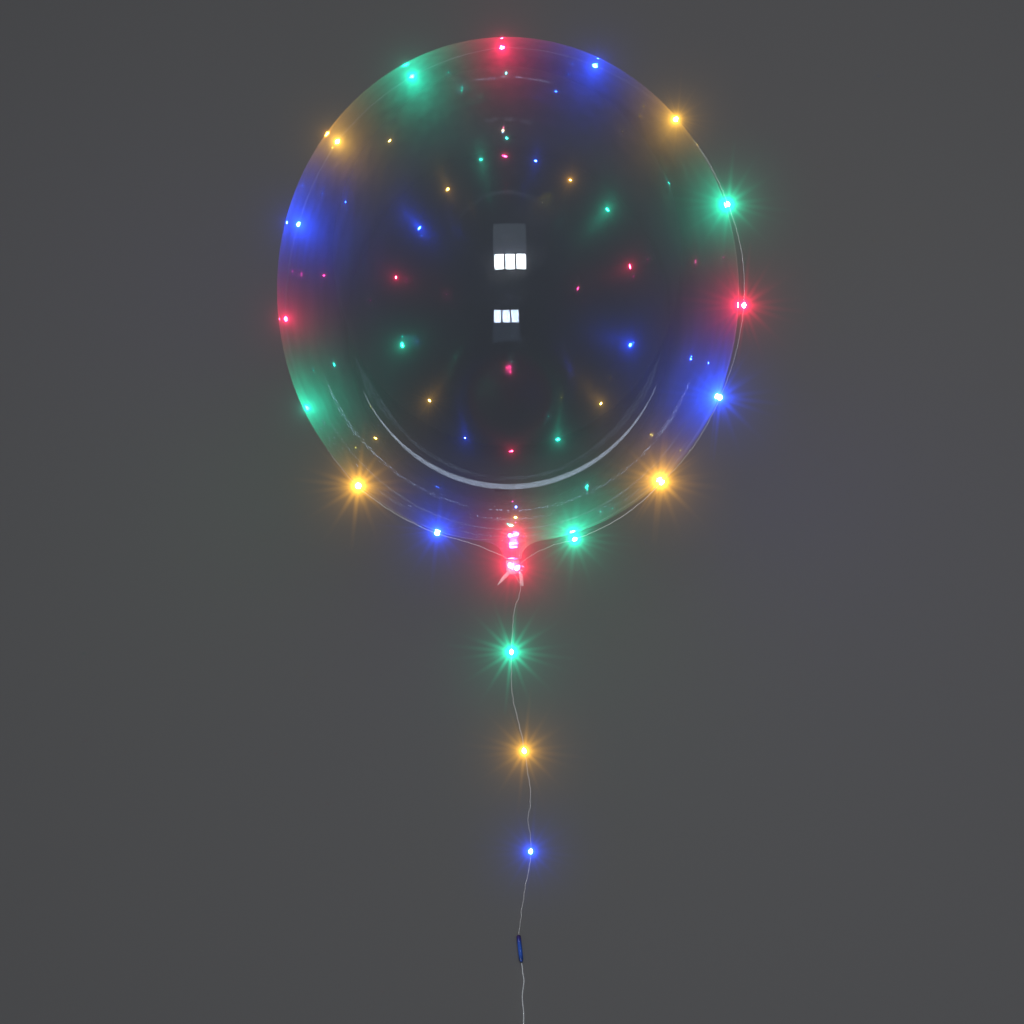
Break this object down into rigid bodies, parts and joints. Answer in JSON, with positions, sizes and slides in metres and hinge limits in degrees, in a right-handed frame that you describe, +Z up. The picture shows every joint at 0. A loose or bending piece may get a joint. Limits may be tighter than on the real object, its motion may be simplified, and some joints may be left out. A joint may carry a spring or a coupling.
{
  "type": "light-up bubble balloon",
  "caption": "Clear round bubble balloon, knotted at its neck and wound with a wire string of small coloured lights, lying on its flank with the lead and a small battery case on the floor.",
  "frame": {"origin": "middle of the flat spot under the balloon, on the floor it lies on", "axes": "+Z up; -Y towards the balloon's neck and along the free string; +X to the right seen from above with the neck down the picture"},
  "size_m": [0.4672, 0.9967, 0.461],
  "materials": {
    "film": "thin, clear, glossy stretch film",
    "wire": "fine silver-coloured wire, lacquered and kinked",
    "light_blue": "clear resin drop over a lit blue chip",
    "light_yellow": "clear resin drop over a lit amber chip",
    "light_green": "clear resin drop over a lit blue-green chip",
    "light_red": "clear resin drop over a lit red chip",
    "sleeve": "blue shrink sleeve",
    "lead": "grey insulated lead",
    "tie": "black tie",
    "case": "black moulded plastic"
  },
  "bodies": {
    "root": {"balloon": "film", "neck_tie": "film", "loop_wire": "wire", "string_wire": "wire", "led_01_blue": "light_blue", "led_02_yellow": "light_yellow", "led_03_green": "light_green", "led_04_red": "light_red", "led_05_blue": "light_blue", "led_06_yellow": "light_yellow", "led_07_green": "light_green", "led_08_red": "light_red", "led_09_blue": "light_blue", "led_10_yellow": "light_yellow", "led_11_green": "light_green", "led_12_red": "light_red", "led_13_blue": "light_blue", "led_14_yellow": "light_yellow", "led_15_green": "light_green", "led_16_red": "light_red", "led_17_blue": "light_blue", "led_18_yellow": "light_yellow", "led_19_green": "light_green", "led_20_red": "light_red", "splice_sleeve": "sleeve", "lead_wire": "lead", "lead_end": "lead", "lead_coil": "lead", "coil_tie": "tie", "battery_case": "case", "battery_lid": "case"}
  },
  "joints": []
}
